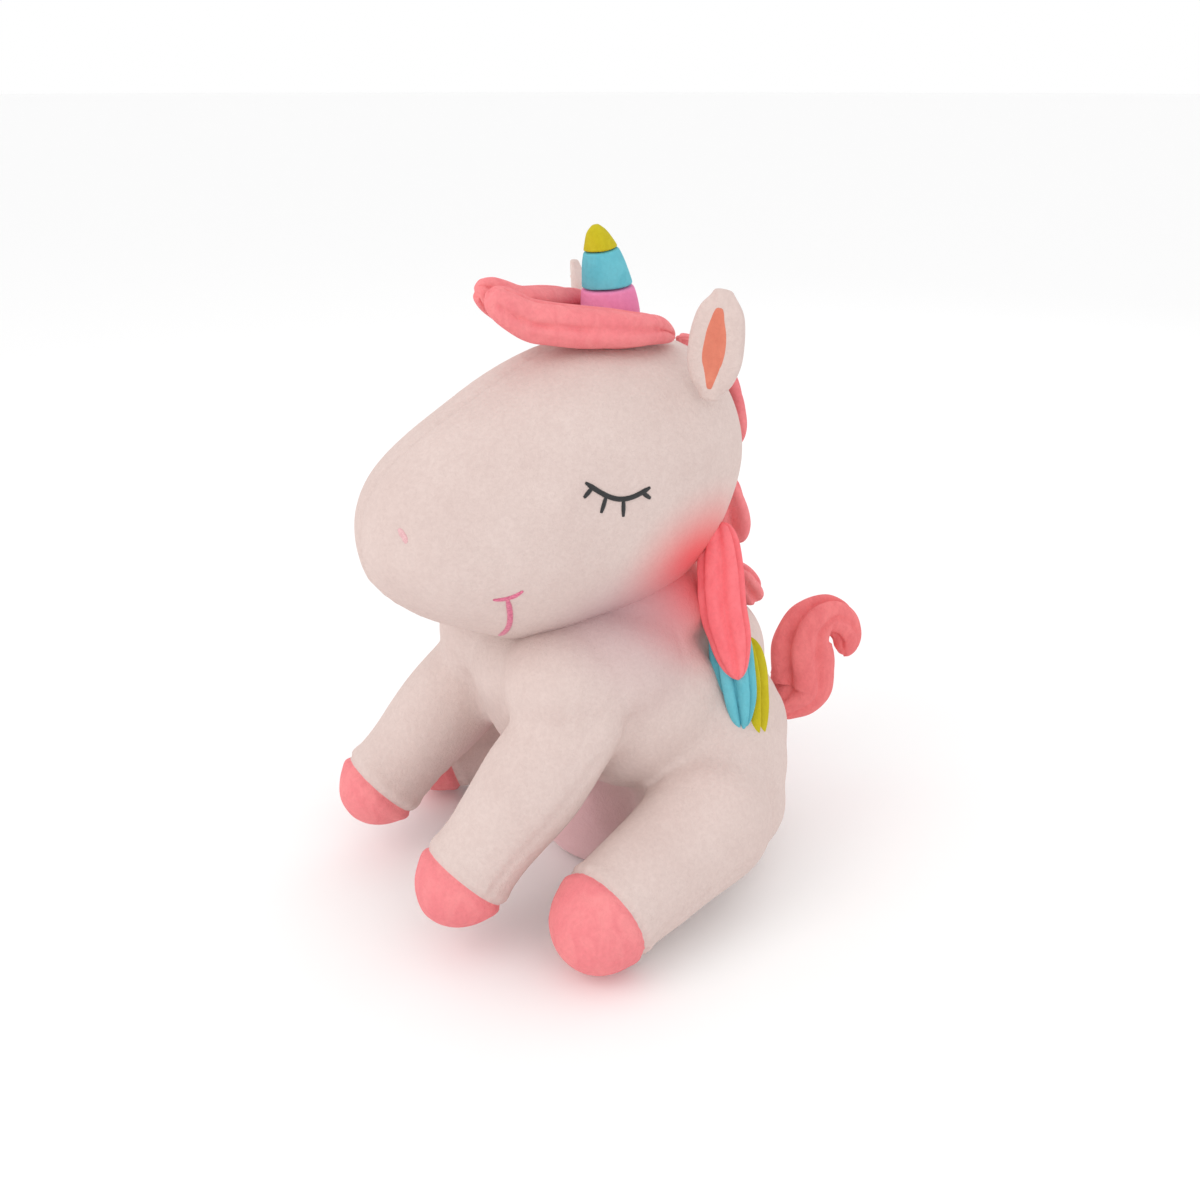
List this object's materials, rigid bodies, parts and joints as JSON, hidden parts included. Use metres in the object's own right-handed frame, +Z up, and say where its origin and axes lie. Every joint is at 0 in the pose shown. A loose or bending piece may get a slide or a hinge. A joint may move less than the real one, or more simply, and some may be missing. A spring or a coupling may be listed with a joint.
{
  "type": "plush unicorn",
  "caption": "Sitting stuffed unicorn toy in soft plush: large head with a banded horn, floppy ears, forelock and mane, layered wings, curled tail and soft swinging legs.",
  "frame": {"origin": "on the floor at the middle of the round seat panel, the flat face that the toy sits on", "axes": "+Z up towards the horn, -Y towards the muzzle and the front hooves, +X towards the side of the toy's left legs"},
  "size_m": [0.2854, 0.3615, 0.3936],
  "materials": {
    "cream_plush": "short soft pile, cream pink",
    "coral_plush": "short soft pile, coral",
    "peach_plush": "short soft pile, peach coral",
    "pink_plush": "short soft pile, pink",
    "blue_plush": "short soft pile, light blue",
    "yellow_plush": "short soft pile, yellow",
    "polyester_stuffing": "loose polyester fibre filling",
    "black_thread": "satin embroidery thread, black",
    "rose_thread": "satin embroidery thread, rose"
  },
  "bodies": {
    "torso": {"back_panel_left": "cream_plush", "back_panel_right": "cream_plush", "belly_panel": "cream_plush", "seat_panel": "cream_plush", "torso_stuffing": "polyester_stuffing", "mane_lock_lower": "coral_plush"},
    "neck": {"neck_stuffing": "polyester_stuffing"},
    "head": {"head_panel_left": "cream_plush", "head_panel_right": "cream_plush", "head_stuffing": "polyester_stuffing", "mane_lock_upper": "coral_plush", "mane_lock_middle": "coral_plush", "eye_stitching_left": "black_thread", "eye_stitching_right": "black_thread", "mouth_stitching_left": "rose_thread", "mouth_stitching_right": "rose_thread", "nostril_left": "rose_thread", "nostril_right": "rose_thread"},
    "horn": {"horn_pink_band": "pink_plush", "horn_blue_band": "blue_plush", "horn_yellow_tip": "yellow_plush", "horn_stuffing": "polyester_stuffing"},
    "forelock": {"forelock_left": "coral_plush", "forelock_right": "coral_plush"},
    "tail": {"tail_lock": "coral_plush"},
    "front_leg_left": {"front_leg_outer_left": "cream_plush", "front_leg_inner_left": "cream_plush", "front_hoof_left": "coral_plush", "front_leg_stuffing_left": "polyester_stuffing"},
    "hind_leg_left": {"hind_leg_outer_left": "cream_plush", "hind_leg_inner_left": "cream_plush", "hind_hoof_left": "coral_plush", "hind_leg_stuffing_left": "polyester_stuffing"},
    "ear_left": {"ear_back_left": "cream_plush", "ear_lining_left": "peach_plush"},
    "wing_left": {"wing_coral_feather_left": "coral_plush", "wing_blue_feather_left": "blue_plush", "wing_yellow_feather_left": "yellow_plush"},
    "front_leg_right": {"front_leg_outer_right": "cream_plush", "front_leg_inner_right": "cream_plush", "front_hoof_right": "coral_plush", "front_leg_stuffing_right": "polyester_stuffing"},
    "hind_leg_right": {"hind_leg_outer_right": "cream_plush", "hind_leg_inner_right": "cream_plush", "hind_hoof_right": "coral_plush", "hind_leg_stuffing_right": "polyester_stuffing"},
    "ear_right": {"ear_back_right": "cream_plush", "ear_lining_right": "peach_plush"},
    "wing_right": {"wing_coral_feather_right": "coral_plush", "wing_blue_feather_right": "blue_plush", "wing_yellow_feather_right": "yellow_plush"}
  },
  "joints": [
    {"name": "neck_turn", "type": "hinge", "parent": "torso", "child": "neck", "pos_m": [0, -0.003, 0.171], "axis": [0, -0.309, 0.9511], "range_deg": [-20, 20], "stiffness_Nm_per_rad": 0.6},
    {"name": "head_nod", "type": "hinge", "parent": "neck", "child": "head", "pos_m": [0, -0.003, 0.171], "axis": [1, 0, 0], "range_deg": [-7, 5], "stiffness_Nm_per_rad": 2.5},
    {"name": "front_leg_swing_left", "type": "hinge", "parent": "torso", "child": "front_leg_left", "pos_m": [0.0558, -0.063, 0.127], "axis": [1, 0, 0], "range_deg": [-20, 8], "stiffness_Nm_per_rad": 0.25},
    {"name": "hind_leg_swing_left", "type": "hinge", "parent": "torso", "child": "hind_leg_left", "pos_m": [0.088, 0.008, 0.06], "axis": [1, 0, 0], "range_deg": [-25, 5], "stiffness_Nm_per_rad": 0.6},
    {"name": "ear_flop_left", "type": "hinge", "parent": "head", "child": "ear_left", "pos_m": [0.063, 0.012, 0.306], "axis": [0.769, 0.6392, 0], "range_deg": [-20, 20], "stiffness_Nm_per_rad": 0.02},
    {"name": "wing_flap_left", "type": "hinge", "parent": "torso", "child": "wing_left", "pos_m": [0.055, 0.027, 0.207], "axis": [0, 1, 0], "range_deg": [-55, 0], "stiffness_Nm_per_rad": 0.02},
    {"name": "front_leg_swing_right", "type": "hinge", "parent": "torso", "child": "front_leg_right", "pos_m": [-0.0558, -0.063, 0.127], "axis": [1, 0, 0], "range_deg": [-20, 8], "stiffness_Nm_per_rad": 0.25},
    {"name": "hind_leg_swing_right", "type": "hinge", "parent": "torso", "child": "hind_leg_right", "pos_m": [-0.088, 0.008, 0.06], "axis": [1, 0, 0], "range_deg": [-25, 5], "stiffness_Nm_per_rad": 0.6},
    {"name": "ear_flop_right", "type": "hinge", "parent": "head", "child": "ear_right", "pos_m": [-0.063, 0.012, 0.306], "axis": [0.769, -0.6392, 0], "range_deg": [-20, 20], "stiffness_Nm_per_rad": 0.02},
    {"name": "wing_flap_right", "type": "hinge", "parent": "torso", "child": "wing_right", "pos_m": [-0.055, 0.027, 0.207], "axis": [0, 1, 0], "range_deg": [0, 55], "stiffness_Nm_per_rad": 0.02},
    {"name": "horn_bend", "type": "hinge", "parent": "head", "child": "horn", "pos_m": [0, -0.012, 0.3375], "axis": [1, 0, 0], "range_deg": [-6, 6], "stiffness_Nm_per_rad": 0.05},
    {"name": "forelock_lift", "type": "hinge", "parent": "head", "child": "forelock", "pos_m": [0, 0.02, 0.332], "axis": [1, 0, 0], "range_deg": [-12, 0], "stiffness_Nm_per_rad": 0.05},
    {"name": "tail_wag", "type": "hinge", "parent": "torso", "child": "tail", "pos_m": [0, 0.129, 0.064], "axis": [0, 0, 1], "range_deg": [-20, 20], "stiffness_Nm_per_rad": 0.05}
  ]
}
